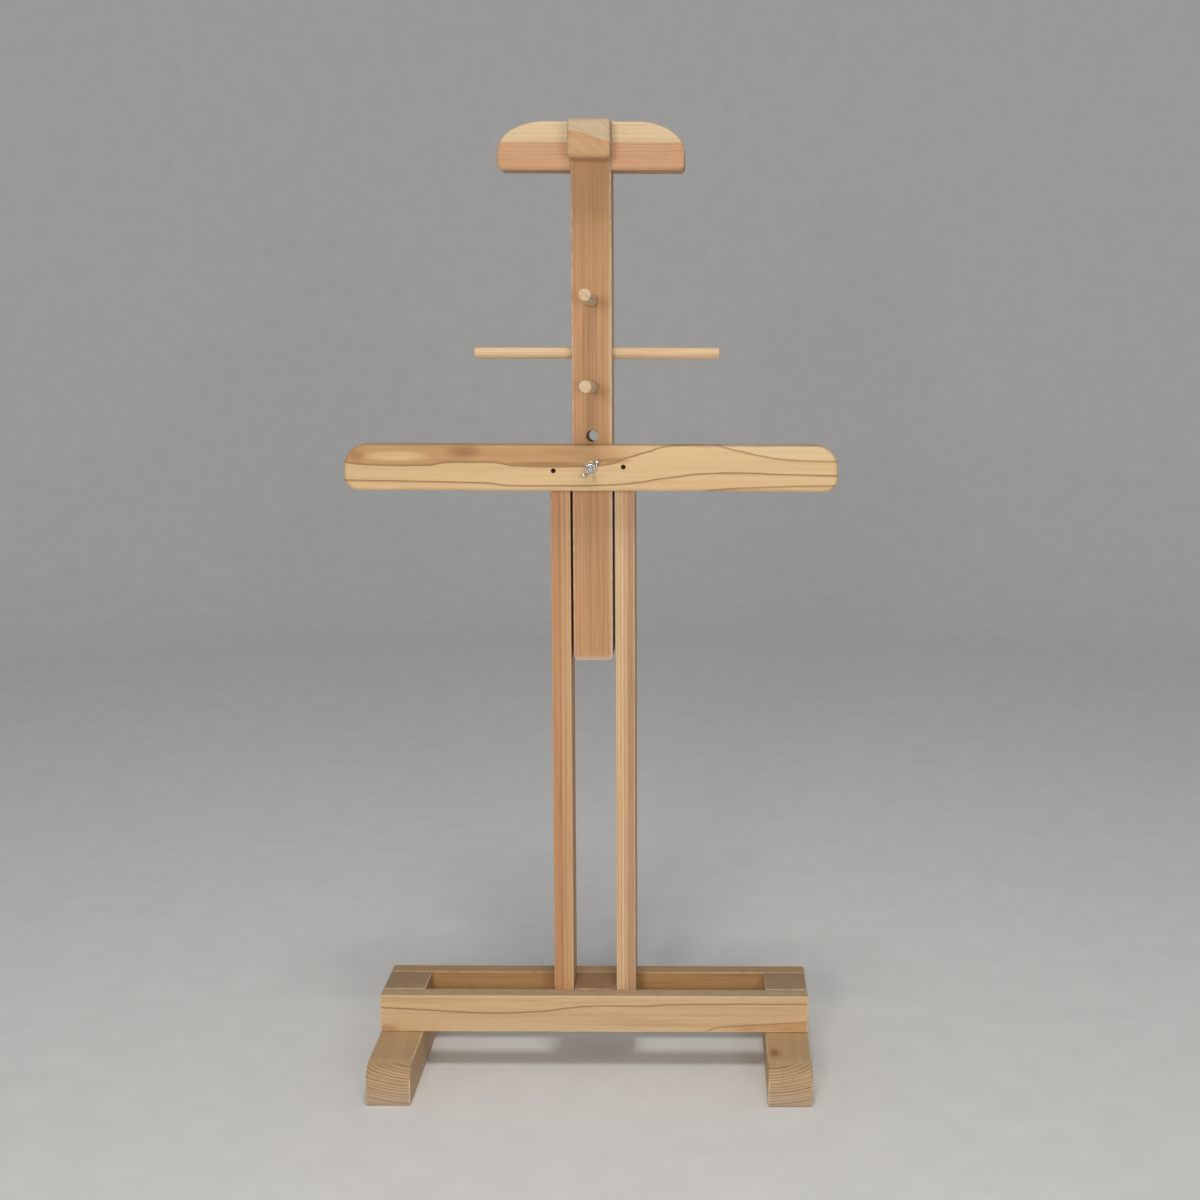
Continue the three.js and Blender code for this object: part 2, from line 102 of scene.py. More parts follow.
# Lights and backdrop: two lamps beside the viewer, a third above and in front, and a pale round room
WARM_WHITE = (1.0, 0.97, 0.93)
LAMPS = {  # place, where it looks, size and power
    "side_left": ((-0.37, -2.60, 1.02), (0, 0, 0.65), (0.35, 0.4), 16.6),
    "side_right": ((0.72, -2.55, 0.80), (0, 0, 0.65), (0.45, 0.5), 10.9),
    "front_top": ((0.10, -1.00, 2.70), (0, 0, 0.50), (0.6, 0.6), 21),
}
SKY = (0.97, 0.985, 1.0)
SKY_STRENGTH = 0.24
FLOOR_RADIUS = 2.6
FLOOR_BEND = 1.4               # radius of the curve from the floor up into the wall
WALL_TOP = 4.0


def add_lamp(name, place, aim, size, power):
    data = bpy.data.lights.new(name, "AREA")
    data.shape = "RECTANGLE"
    data.size, data.size_y = size
    data.energy = power
    data.color = WARM_WHITE
    lamp = bpy.data.objects.new(name, data)
    lamp.rotation_euler = (Vector(aim) - Vector(place)).to_track_quat("-Z", "Y").to_euler()
    lamp.location = place
    bpy.context.scene.collection.objects.link(lamp)


def add_lights():
    bpy.context.scene.view_settings.view_transform = "Standard"
    for name, (place, aim, size, power) in LAMPS.items():
        add_lamp(name, place, aim, size, power)
    world = bpy.data.worlds.new("studio")
    world.use_nodes = True
    background = world.node_tree.nodes["Background"]
    background.inputs["Color"].default_value = (*SKY, 1)
    background.inputs["Strength"].default_value = SKY_STRENGTH
    bpy.context.scene.world = world


def add_backdrop():
    """A round floor that curves up into a wall all round, so that no line shows behind the stand."""
    steps = 24
    profile = [(0, 0)]
    for k in range(steps + 1):
        angle = math.pi / 2 * k / steps
        profile.append((FLOOR_RADIUS + FLOOR_BEND * math.sin(angle), FLOOR_BEND * (1 - math.cos(angle))))
    profile.append((FLOOR_RADIUS + FLOOR_BEND, WALL_TOP))
    shader = Shader("floor_paper")
    mottle = shader.noise(shader.place_mm(), 0.02, 3)
    color = shader.ramp(mottle, [(0.3, (0.81, 0.81, 0.805)), (0.7, (0.85, 0.85, 0.845))])
    lathe("floor", profile, shader.finish(color, 0.9), segments=96)


# Node building
class Shader:
    """A node material, built by short calls that each return an output socket."""

    def __init__(self, name):
        self.material = bpy.data.materials.new(name)
        self.material.use_nodes = True
        self.tree = self.material.node_tree
        self.surface = self.tree.nodes["Principled BSDF"]

    def put(self, socket, value):
        if isinstance(value, bpy.types.NodeSocket):
            self.tree.links.new(value, socket)
        elif socket.type == "RGBA":
            socket.default_value = (*value, 1)
        else:
            socket.default_value = value

    def place_mm(self):
        """The piece's own coordinates, in millimetres."""
        coordinates = self.tree.nodes.new("ShaderNodeTexCoord").outputs["Object"]
        return self.scaled(coordinates, (1000, 1000, 1000))

    def scaled(self, vector, scale):
        node = self.tree.nodes.new("ShaderNodeVectorMath")
        node.operation = "MULTIPLY"
        self.put(node.inputs[0], vector)
        node.inputs[1].default_value = scale
        return node.outputs[0]

    def split(self, vector):
        node = self.tree.nodes.new("ShaderNodeSeparateXYZ")
        self.put(node.inputs[0], vector)
        return dict(zip(AXES, node.outputs))

    def vector(self, x, y, z):
        node = self.tree.nodes.new("ShaderNodeCombineXYZ")
        for socket, value in zip(node.inputs, (x, y, z)):
            self.put(socket, value)
        return node.outputs[0]

    def math(self, operation, *values):
        node = self.tree.nodes.new("ShaderNodeMath")
        node.operation = operation
        for socket, value in zip(node.inputs, values):
            self.put(socket, value)
        return node.outputs[0]

    def product(self, first, *others):
        for other in others:
            first = self.math("MULTIPLY", first, other)
        return first

    def smooth(self, low, high, value, start=0.0, end=1.0):
        """start below low, end above high, and a smooth step between."""
        node = self.tree.nodes.new("ShaderNodeMapRange")
        node.interpolation_type = "SMOOTHSTEP"
        for socket, part in zip(node.inputs, (value, low, high, start, end)):
            self.put(socket, part)
        return node.outputs[0]

    def noise(self, vector, scale=1.0, detail=2.0, roughness=0.5):
        node = self.tree.nodes.new("ShaderNodeTexNoise")
        self.put(node.inputs["Vector"], vector)
        node.inputs["Scale"].default_value = scale
        node.inputs["Detail"].default_value = detail
        node.inputs["Roughness"].default_value = roughness
        return node.outputs[0]

    def ramp(self, value, stops):
        node = self.tree.nodes.new("ShaderNodeValToRGB")
        band = node.color_ramp
        while len(band.elements) < len(stops):
            band.elements.new(0.5)
        for element, (place, color) in zip(band.elements, stops):
            element.position = place
            element.color = (*color, 1)
        self.put(node.inputs[0], value)
        return node.outputs[0]

    def mix(self, amount, first, second, blend="MIX"):
        node = self.tree.nodes.new("ShaderNodeMix")
        node.data_type = "RGBA"
        node.blend_type = blend
        self.put(node.inputs[0], amount)
        self.put(node.inputs[6], first)
        self.put(node.inputs[7], second)
        return node.outputs[2]

    def line(self, value, points):
        """A line drawn through (along, height) points, as the height at value."""
        node = self.tree.nodes.new("ShaderNodeFloatCurve")
        low, high = points[0][0], points[-1][0]
        bottom = min(height for _, height in points)
        rise = max(height for _, height in points) - bottom or 1.0
        drawn = node.mapping.curves[0].points
        while len(drawn) < len(points):
            drawn.new(0.5, 0.5)
        for point, (along, height) in zip(drawn, points):
            point.location = ((along - low) / (high - low), (height - bottom) / rise)
        node.mapping.update()
        share = self.math("DIVIDE", self.math("SUBTRACT", value, low), high - low)
        self.put(node.inputs["Value"], share)
        return self.math("MULTIPLY_ADD", node.outputs[0], rise, bottom)

    def bump(self, height, strength, distance):
        node = self.tree.nodes.new("ShaderNodeBump")
        node.inputs["Strength"].default_value = strength
        node.inputs["Distance"].default_value = distance
        self.put(node.inputs["Height"], height)
        return node.outputs[0]

    def finish(self, color, roughness, normal=None, metallic=0.0, specular=0.35):
        self.put(self.surface.inputs["Base Color"], color)
        self.put(self.surface.inputs["Roughness"], roughness)
        self.surface.inputs["Metallic"].default_value = metallic
        self.surface.inputs["Specular IOR Level"].default_value = specular
        if normal is not None:
            self.put(self.surface.inputs["Normal"], normal)
        return self.material


# Wood
CREAM = (0.80, 0.62, 0.40)
BROWN_LINE = (0.36, 0.19, 0.075)
PORE = (0.20, 0.115, 0.06)
# painted shade: the colour that faces looking up are darkened towards
TOP_SHADE_COLOR = (0.36, 0.255, 0.155)
WORN = (0.84, 0.70, 0.51)
END_WOOD = (0.40, 0.29, 0.20)
END_LINE = (0.25, 0.14, 0.075)
STREAK_SHADES = [(0.0, (0.60, 0.52, 0.44)), (0.5, (1.0, 1.0, 1.0)), (1.0, (1.12, 1.16, 1.22))]
PINE_ROUGHNESS = 0.47
EDGE_BAND = (1.9, 0.5)         # millimetres from an edge where its wear starts and is full


class Pine(Shader):
    """Planed pine with growth rings around a pith that runs along the grain axis."""

    def __init__(self, name, node, grain, seed):
        super().__init__(name)
        self.low, self.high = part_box(node)
        self.grain = grain
        self.seed = seed
        self.axis = self.split(self.place_mm())
        shifted = self.math("ADD", self.axis["z"], seed * 311.0)
        self.place = self.vector(self.axis["x"], self.axis["y"], shifted)
        self.drift = self.math("SUBTRACT", self.noise(self.along_grain(0.003, 0.02)), 0.5)
        self.fibre = self.noise(self.along_grain(0.03, 2.6), roughness=0.6)
        normal = self.split(self.tree.nodes.new("ShaderNodeTexCoord").outputs["Normal"])
        self.end_grain = self.smooth(0.72, 0.96, self.math("ABSOLUTE", normal[grain]))
        self.upward = self.smooth(0.25, 0.95, normal["z"])

    def along_grain(self, rate_along, rate_across):
        """Coordinates for a noise that is long in the direction of the grain."""
        return self.scaled(self.place, tuple(rate_along if a == self.grain else rate_across for a in AXES))

    def rings(self, pith, spacing, wave, slow=None, faintest=0.35, late_from=0.30):
        """Latewood share. pith is its place on the two axes across the grain, in x, y, z order.

        slow is (radius, share): beyond that radius the years are closer by that share, or wider where it is
        below 0. Each year darkens from late_from of its width.
        """
        squares = []
        for axis, middle in zip([a for a in AXES if a != self.grain], pith):
            moved = self.math("MULTIPLY_ADD", self.drift, wave, self.axis[axis])
            away = self.math("SUBTRACT", moved, middle)
            squares.append(self.product(away, away))
        radius = self.math("SQRT", self.math("ADD", *squares))
        if slow:
            beyond = self.math("MAXIMUM", self.math("SUBTRACT", radius, slow[0]), 0.0)
            radius = self.math("MULTIPLY_ADD", beyond, slow[1], radius)
        count = self.math("DIVIDE", radius, spacing)
        uneven = self.noise(self.vector(self.math("MULTIPLY", count, 0.55), self.seed, 0.0), detail=1.0)
        count = self.math("MULTIPLY_ADD", uneven, 1.6, count)
        phase = self.math("FRACT", count)
        band = self.product(self.smooth(late_from, 0.90, phase), self.smooth(0.93, 1.0, phase, 1.0, 0.0))
        year = self.noise(self.vector(self.math("FLOOR", count), self.seed + 3.7, 0.0), 0.83, 0.0)
        return self.product(band, self.smooth(0.25, 0.75, year, faintest, 1.0))

    def two_woods(self, first, second, edge):
        """first turning to second where edge passes from -1 to 1."""
        return self.mix(self.smooth(-1.0, 1.0, edge), first, second)

    def streaked(self, color, strength):
        """Long soft patches, streaks and fine fibres along the grain, and short dark resin dashes."""
        broad = self.noise(self.along_grain(0.004, 0.05), detail=3.0)
        streak = self.noise(self.along_grain(0.006, 0.45), detail=3.0, roughness=0.6)
        tone = self.math("MULTIPLY_ADD", self.math("SUBTRACT", streak, 0.5), 0.9 * strength, 0.5)
        tone = self.math("MULTIPLY_ADD", self.math("SUBTRACT", self.fibre, 0.5), 0.6 * strength, tone)
        tone = self.math("MULTIPLY_ADD", self.math("SUBTRACT", broad, 0.5), 0.5, tone)
        color = self.mix(1.0, color, self.ramp(tone, STREAK_SHADES), "MULTIPLY")
        dash = self.smooth(0.72, 0.80, self.noise(self.along_grain(0.10, 1.7), detail=0.0))
        return self.mix(self.product(dash, 0.30), color, BROWN_LINE)

    def spot(self, middle, reach, axes="xz"):
        """Distance from an oval's middle, 1 on its outline. middle and reach are millimetres along axes."""
        squares = []
        for axis, centre, half in zip(axes, middle, reach):
            away = self.math("MULTIPLY", self.math("SUBTRACT", self.axis[axis], centre), 1 / half)
            squares.append(self.product(away, away))
        return self.math("SQRT", self.math("ADD", *squares))

    def ring_line(self, color, points, depth, soft, sharp):
        """One year's dark line, fading over soft millimetres below it, or above it if soft is negative."""
        wobble = self.math("SUBTRACT", self.noise(self.along_grain(0.03, 0.2)), 0.5)
        height = self.math("MULTIPLY_ADD", wobble, 1.4, self.line(self.axis["x"], points))
        above = self.math("SUBTRACT", self.axis["z"], height)
        if soft > 0:
            band = self.product(self.smooth(-soft, 0.0, above), self.smooth(0.0, sharp, above, 1.0, 0.0))
        else:
            band = self.product(self.smooth(0.0, -soft, above, 1.0, 0.0), self.smooth(-sharp, 0.0, above))
        return self.mix(self.product(band, depth), color, BROWN_LINE)

    def stripes(self, color, places, wander=1.2, axis="x"):
        """Straight dark lines along the grain: places are (millimetres across, half width, depth)."""
        moved = self.math("MULTIPLY_ADD", self.drift, wander, self.axis[axis])
        for place, half_width, depth in places:
            away = self.math("ABSOLUTE", self.math("SUBTRACT", moved, place))
            color = self.mix(self.smooth(0.0, half_width, away, depth, 0.0), color, BROWN_LINE)
        return color

    def ends(self, color, latewood, share, pores):
        """End grain, on faces that look along the grain: greyer and darker, with pores between the rings."""
        greyed = self.mix(0.45, color, END_WOOD)
        ringed = self.mix(self.product(latewood, 0.70), greyed, END_LINE)
        pored = self.mix(self.smooth(0.48, 0.75, pores, 0.0, 0.30), ringed, PORE)
        return self.mix(self.product(self.end_grain, share), color, pored)

    def edge_mask(self):
        """1 along the board's edges, 0 on its faces."""
        near = []
        for a, low, high in zip(AXES, self.low, self.high):
            off = self.math("ABSOLUTE", self.math("SUBTRACT", self.axis[a], (low + high) / 2 / MM))
            half = (high - low) / 2 / MM
            near.append(self.smooth(half - EDGE_BAND[0], half - EDGE_BAND[1], off))
        pairs = [self.product(near[a], near[b]) for a, b in ((0, 1), (1, 2), (0, 2))]
        return self.math("MAXIMUM", pairs[0], self.math("MAXIMUM", pairs[1], pairs[2]))

    def surface_of(self, color, latewood, end_share=0.6, wear=0.5, patina=0.35):
        """Ends, paler worn edges and painted shade on faces that look up, then the gloss and the relief of
        the grain.
        """
        pores = self.noise(self.scaled(self.place, (2.2, 2.2, 2.2)), detail=3.0, roughness=0.7)
        color = self.ends(color, latewood, end_share, pores)
        wear_and_shade_noise = self.noise(self.scaled(self.place, (0.12, 0.12, 0.12)), detail=3.0)
        worn = self.product(self.edge_mask(), self.smooth(0.3, 0.7, wear_and_shade_noise, 0.3 * wear, wear))
        color = self.mix(worn, color, WORN)
        # painted shade: faces that look up are darkened in patches, so that tops come out darker than fronts
        top_shaded = self.math("MULTIPLY", self.upward, self.smooth(0.25, 0.75, wear_and_shade_noise, 0.6 * patina, patina))
        color = self.mix(top_shaded, color, TOP_SHADE_COLOR)
        roughness = self.math("MULTIPLY_ADD", self.end_grain, 0.18, PINE_ROUGHNESS)
        roughness = self.math("MULTIPLY_ADD", self.fibre, 0.18, roughness)
        relief = self.math("MULTIPLY_ADD", latewood, 0.5, self.math("MULTIPLY", self.fibre, 0.8))
        relief = self.math("ADD", relief, self.product(pores, self.end_grain, 1.2))
        return self.finish(color, roughness, self.bump(relief, 0.35, 0.12 * MM))


def plain_pine(name, node, grain, seed, pith, spacing, early, late,
               wave=4.0, contrast=0.6, strength=1.0, **surface):
    """Pine with nothing but rings and streaks. surface holds values for surface_of."""
    wood = Pine(name, node, grain, seed)
    latewood = wood.rings(pith, spacing, wave)
    color = wood.mix(wood.product(latewood, contrast), early, late)
    return wood.surface_of(wood.streaked(color, strength), latewood, **surface)


# Meshes
def outline(left, right, bottom, top, corners):
    """Points round a board's face, anticlockwise from its lower right corner.

    corners are (run, rise) of quarter ellipses, anticlockwise from the lower left one.
    """
    low_left, low_right, high_right, high_left = corners
    quarter = math.pi / 2
    arcs = [
        (right - low_right[0], bottom + low_right[1], low_right, -quarter),
        (right - high_right[0], top - high_right[1], high_right, 0.0),
        (left + high_left[0], top - high_left[1], high_left, quarter),
        (left + low_left[0], bottom + low_left[1], low_left, 2 * quarter),
    ]
    points = []
    for centre_u, centre_v, (run, rise), start in arcs:
        steps = max(3, round((run + rise) / 2 * quarter / ARC_STEP))
        for k in range(steps + 1):
            angle = start + quarter * k / steps
            points.append(Vector((centre_u + run * math.cos(angle), centre_v + rise * math.sin(angle))))
    spaced = []
    for here, after in zip(points, points[1:] + points[:1]):
        pieces = max(1, round((after - here).length / STRAIGHT_STEP))
        spaced += [here.lerp(after, k / pieces) for k in range(pieces)]
    return spaced


def round_corner(radius):
    return (radius, radius)


def outward(points):
    normals = []
    for before, after in zip(points[-1:] + points[:-1], points[1:] + points[:1]):
        along = (after - before).normalized()
        normals.append(Vector((along.y, -along.x)))
    return normals


def to_object(name, verts, faces, material):
    mesh = bpy.data.meshes.new(name)
    mesh.from_pydata(verts, [], faces)
    work = bmesh.new()
    work.from_mesh(mesh)
    bmesh.ops.remove_doubles(work, verts=work.verts, dist=1e-7)
    bmesh.ops.recalc_face_normals(work, faces=work.faces)
    work.to_mesh(mesh)
    work.free()
    shade(mesh)
    if material is not None:
        mesh.materials.append(material)
    piece = bpy.data.objects.new(name, mesh)
    bpy.context.scene.collection.objects.link(piece)
    return piece


def shade(mesh):
    mesh.polygons.foreach_set("use_smooth", [True] * len(mesh.polygons))
    mesh.set_sharp_from_angle(angle=SHARP)


def walls(rows, count):
    """Faces between rows of points that each hold count points in a ring."""
    faces = []
    for start in range(0, (rows - 1) * count, count):
        for i in range(count):
            j = (i + 1) % count
            faces.append((start + i, start + j, start + count + j, start + count + i))
    return faces


def prism(name, rings, material=None):
    """A closed solid through rings of points, with flat ends."""
    count = len(rings[0])
    last = (len(rings) - 1) * count
    faces = [tuple(range(count - 1, -1, -1)), tuple(range(last, last + count))] + walls(len(rings), count)
    return to_object(name, [point for ring in rings for point in ring], faces, material)


def spine_of(points):
    """Even points down the middle of an outline, half its width short of each end."""
    low = Vector((min(p.x for p in points), min(p.y for p in points)))
    high = Vector((max(p.x for p in points), max(p.y for p in points)))
    size = high - low
    along = 0 if size.x > size.y else 1
    reach = (size[along] - size[1 - along]) / 2
    steps = max(1, round(2 * reach / STRAIGHT_STEP))
    spine = []
    for k in range(steps + 1):
        point = (low + high) / 2
        point[along] += reach * (2 * k / steps - 1)
        spine.append(point)
    return spine


def fill(points, spine, ring_start, spine_start):
    """Triangles of a flat face that fan out from its spine to its outline."""
    nearest = [min(range(len(spine)), key=lambda k: (spine[k] - p).length_squared) for p in points]
    faces = []
    for i, here in enumerate(nearest):
        j = (i + 1) % len(points)
        faces.append((ring_start + i, ring_start + j, spine_start + here))
        step = 1 if nearest[j] > here else -1
        for k in range(here, nearest[j], step):
            faces.append((ring_start + j, spine_start + k + step, spine_start + k))
    return faces


def board(name, points, start, end, ease, material, plane="xz"):
    """A board with unevenly eased edges. Its outline is in plane "xz" or "yz", its faces at start and end."""
    normals = outward(points)
    spine = spine_of(points)

    def place(point, depth):
        return Vector((point.x, depth, point.y)) if plane == "xz" else Vector((depth, point.x, point.y))

    def side_rings(at, inwards):
        wear = [1 + WEAR * max(-1, min(1, 1.6 * noise.noise(Vector((p.x, p.y, at)) * 38))) for p in points]
        sides = list(zip(points, normals, wear))
        rings = [[place(p - n * (ease * w + CAP_RING), at) for p, n, w in sides]]
        for k in range(ROUND_STEPS + 1):
            angle = k / ROUND_STEPS * math.pi / 2
            inset, drop = ease * (1 - math.sin(angle)), ease * (1 - math.cos(angle))
            rings.append([place(p - n * inset * w, at + inwards * drop * w) for p, n, w in sides])
        return rings

    rings = side_rings(start, 1) + side_rings(end, -1)[::-1]
    verts = [point for ring in rings for point in ring]
    faces = walls(len(rings), len(points))
    for at, ring_start in ((start, 0), (end, len(verts) - len(points))):
        faces += fill(points, spine, ring_start, len(verts))
        verts += [place(point, at) for point in spine]
    return to_object(name, verts, faces, material)


def square_board(node, material):
    """A board with plain eased corners that fills its node's box."""
    low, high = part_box(node)
    points = outline(low.x, high.x, low.z, high.z, [round_corner(EDGE * CORNER)] * 4)
    return board(node + "_board", points, low.y, high.y, EDGE, material)


def lathe(name, profile, material=None, segments=48):
    """A turned surface round +Z through (radius, height) points, closed if it ends on the axis or itself."""
    verts = []
    for radius, height in profile:
        for k in range(segments):
            angle = 2 * math.pi * k / segments
            verts.append(Vector((radius * math.cos(angle), radius * math.sin(angle), height)))
    return to_object(name, verts, walls(len(profile), segments), material)


def drill(radius, start, end):
    """A round cutter along +Z."""
    return lathe("cutter", [(0, start), (radius, start), (radius, end), (0, end)])


def towards_viewer(piece, x, y, z, rise=0.0):
    """Turns a piece's +Z to -Y, tips it up by rise, and puts its start at x, y, z."""
    piece.data.transform(Matrix.Translation((x, y, z)) @ Matrix.Rotation(math.pi / 2 - rise, 4, "X"))
    return piece


def to_right(piece, x, y, z):
    piece.data.transform(Matrix.Translation((x, y, z)) @ Matrix.Rotation(math.pi / 2, 4, "Y"))
    return piece


def box_cutter(low, high):
    corners = [(low[0], low[1]), (high[0], low[1]), (high[0], high[1]), (low[0], high[1])]
    return prism("cutter", [[Vector((x, y, z)) for x, y in corners] for z in (low[2], high[2])])


def combine(piece, others, operation="DIFFERENCE"):
    """Cuts the others out of piece, or joins them to it, and keeps only the result."""
    for other in others:
        modifier = piece.modifiers.new("combine", "BOOLEAN")
        modifier.operation = operation
        modifier.solver = "EXACT"
        modifier.object = other
    bpy.context.view_layer.update()
    result = bpy.data.meshes.new_from_object(piece.evaluated_get(bpy.context.evaluated_depsgraph_get()))
    piece.modifiers.clear()
    piece.data = result
    for other in others:
        bpy.data.objects.remove(other)
    shade(result)
    return piece


def stand_for(piece, node, body):
    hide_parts(node)
    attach(piece, body)


# Front rail: one dark line wanders along it, and warm heartwood fills its lower right corner
RAIL_LINE = [(-226, 69.0), (-189, 66.8), (-147, 64.4), (-107, 63.1), (-67, 64.3), (-26, 68.8), (4, 70.9),
             (54, 71.2), (86, 72.9), (119, 73.4), (226, 73.5)]
RAIL_HEART_LINE = [(-226, 40.0), (100, 40.5), (131, 47.0), (180, 50.5), (226, 53.4)]
RAIL_EARLY = (0.71, 0.485, 0.265)
RAIL_LATE = (0.54, 0.32, 0.145)
RAIL_HEART = (0.60, 0.285, 0.10)
RAIL_CORNER = (0.46, 0.20, 0.08)
# painted shade: the back rail's wood is darker than the front rail's, as if its inner face lay in shade
# behind the uprights
BACK_RAIL_SHADED_EARLY = (0.50, 0.285, 0.115)
BACK_RAIL_SHADED_LATE = (0.42, 0.21, 0.085)


def front_rail_pine():
    wood = Pine("pine_rail_front", "rail_front", "x", 1.0)
    latewood = wood.rings((140, -160), 22, 8)
    color = wood.mix(wood.product(latewood, 0.22), RAIL_EARLY, RAIL_LATE)
    below = wood.math("SUBTRACT", wood.line(wood.axis["x"], RAIL_HEART_LINE), wood.axis["z"])
    patchy = wood.smooth(0.3, 0.7, wood.noise(wood.along_grain(0.03, 0.25)), 0.35, 1.0)
    rightwards = wood.smooth(95.0, 178.0, wood.axis["x"], 0.0, 0.8)
    warm = wood.product(wood.smooth(-0.8, 1.4, below), rightwards, patchy)
    color = wood.mix(warm, color, RAIL_HEART)
    corner = wood.smooth(0.3, 1.3, wood.spot((-222, 44), (16, 7)), 0.6, 0.0)
    color = wood.mix(corner, color, RAIL_CORNER)
    color = wood.streaked(color, 0.8)
    color = wood.ring_line(color, RAIL_LINE, 0.95, 2.0, 1.0)
    color = wood.ring_line(color, RAIL_HEART_LINE, 0.70, -2.2, 0.9)
    return wood.surface_of(color, latewood, wear=0.75, patina=0.68)


def add_rails():
    pines = {
        "rail_front": front_rail_pine(),
        "rail_back": plain_pine("pine_rail_back", "rail_back", "x", 2.0, (-60, 30), 9, BACK_RAIL_SHADED_EARLY,
                                BACK_RAIL_SHADED_LATE, wave=14, contrast=0.4, strength=0.9, patina=0.5),
    }
    for node, pine in pines.items():
        stand_for(square_board(node, pine), node, "frame")


# Feet: the pith lies above and inwards, so the rings on each toe sag and rise outwards
TOE_LENGTH = 27 * MM
TOE_HEIGHT = 19 * MM
FOOT_WOOD = (0.60, 0.40, 0.205)
FOOT_LOW_WOOD = (0.56, 0.42, 0.30)
FOOT_LINE = (0.24, 0.13, 0.055)
KNOT_PLACE = (188.6, -99.7)    # x and y in millimetres, on top of the right foot
KNOT_REACH = (4.6, 8.36)       # longer along the grain
KNOT_RIM = (0.46, 0.21, 0.09)
KNOT_CORE = (0.33, 0.115, 0.045)
FEET = {  # x of the pith, seed
    "foot_left": (-178, 3.0),
    "foot_right": (182, 4.0),
}


def foot_pine(node, pith_x, seed):
    wood = Pine("pine_" + node, node, "y", seed)
    latewood = wood.rings((pith_x, 150), 2.3, 3.0, slow=(128, -0.22), faintest=0.55, late_from=0.40)
    toe = wood.smooth(40.6, 38.5, wood.axis["z"])
    strong = wood.product(latewood, toe, wood.smooth(8.0, 24.0, wood.axis["z"], 0.60, 1.0))
    color = wood.mix(wood.smooth(6.0, 30.0, wood.axis["z"], 0.7, 0.0), FOOT_WOOD, FOOT_LOW_WOOD)
    color = wood.streaked(color, 0.8)
    color = wood.mix(strong, color, FOOT_LINE)
    if node == "foot_right":
        color = knot(wood, color)
    return wood.surface_of(color, latewood, end_share=0.18, wear=1.0, patina=0.38)


def knot(wood, color):
    """A small reddish knot on the foot's upper face, darker in its middle."""
    away = wood.spot(KNOT_PLACE, KNOT_REACH, "xy")
    away = wood.math("MULTIPLY_ADD", wood.drift, 4.0 / KNOT_REACH[0], away)
    on_top = wood.smooth(25.0, 35.0, wood.axis["z"])
    color = wood.mix(wood.product(wood.smooth(1.0, 2.2, away, 0.60, 0.0), on_top), color, KNOT_RIM)
    return wood.mix(wood.product(wood.smooth(0.7, 1.0, away, 0.9, 0.0), on_top), color, KNOT_CORE)


def add_feet():
    toe = (TOE_LENGTH, TOE_HEIGHT)
    sole = round_corner(FOOT_EDGE * CORNER)
    for node, (pith_x, seed) in FEET.items():
        low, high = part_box(node)
        points = outline(low.y, high.y, low.z, high.z, [sole, sole, toe, toe])
        pine = foot_pine(node, pith_x, seed)
        piece = board(node + "_board", points, low.x, high.x, FOOT_EDGE, pine, plane="yz")
        stand_for(piece, node, "frame")


# Blocks between the rails, sawn across, so that end grain looks up
BLOCKS = {  # pith, seed, early and late wood
    "end_block_left": ((-160, 90), 5.0, (0.42, 0.265, 0.15), (0.23, 0.12, 0.055)),
    "end_block_right": ((185, -90), 6.0, (0.44, 0.285, 0.165), (0.24, 0.13, 0.06)),
    # centre_block: its own warmer wood, darkened further by painted shade from where it sits between the
    # uprights
    "centre_block": ((40, 75), 7.0, (0.40, 0.185, 0.065), (0.20, 0.085, 0.028)),
}
CHIPPED_DEPTH = 5 * MM         # how far the splinters reach in from the front face and down from the top
CHIPPED_HEIGHT = 3 * MM
CHIP_DROP = 2.4 * MM
CHIP_RETREAT = 1.2 * MM


def add_blocks():
    for node, (pith, seed, early, late) in BLOCKS.items():
        pine = plain_pine("pine_" + node, node, "z", seed, pith, 2.6, early, late, wave=2.0, contrast=0.6,
                          end_share=0.7, wear=0.9, patina=0.30)
        piece = square_board(node, pine)
        if node == "centre_block":
            chip_front_edge(piece, *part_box(node))
        stand_for(piece, node, "frame")


def chip_front_edge(piece, low, high):
    """Small splinters broken out of the block's upper front edge."""
    for vertex in piece.data.vertices:
        from_front = (vertex.co.y - low.y) / CHIPPED_DEPTH
        from_top = (high.z - vertex.co.z) / CHIPPED_HEIGHT
        near = max(0.0, 1 - from_front) * max(0.0, 1 - from_top)
        if near > 0:
            ragged = max(0.0, noise.noise(Vector((vertex.co.x * 420, vertex.co.y * 300, 2.0))))
            vertex.co.z -= near * ragged * CHIP_DROP
            vertex.co.y += near * ragged * CHIP_RETREAT


# Uprights: straight even grain, cut so that the years run as stripes up the front
LEFT_STRIPES = [(-41.6, 0.9, 0.40), (-39.6, 1.0, 0.42), (-37.2, 0.7, 0.34), (-34.3, 1.2, 0.70),
                (-32.6, 0.5, 0.30), (-29.6, 1.0, 0.62), (-27.4, 0.7, 0.34), (-25.0, 0.8, 0.44)]
RIGHT_STRIPES = [(24.6, 0.9, 0.40), (28.2, 0.9, 0.50), (31.8, 1.1, 0.56), (33.2, 0.6, 0.34),
                 (36.4, 0.9, 0.46), (38.6, 0.6, 0.30), (40.2, 0.7, 0.36), (42.0, 0.6, 0.30)]
UPRIGHTS = {  # seed, wood left and right of an edge, that edge's x, stripes, pith
    "upright_left": (8.0, (0.60, 0.30, 0.145), (0.66, 0.395, 0.20), -32.5, LEFT_STRIPES, (-190, 6)),
    "upright_right": (9.0, (0.75, 0.50, 0.285), (0.54, 0.32, 0.18), 34.5, RIGHT_STRIPES, (190, -8)),
}
UPRIGHT_LATE = (0.44, 0.22, 0.09)


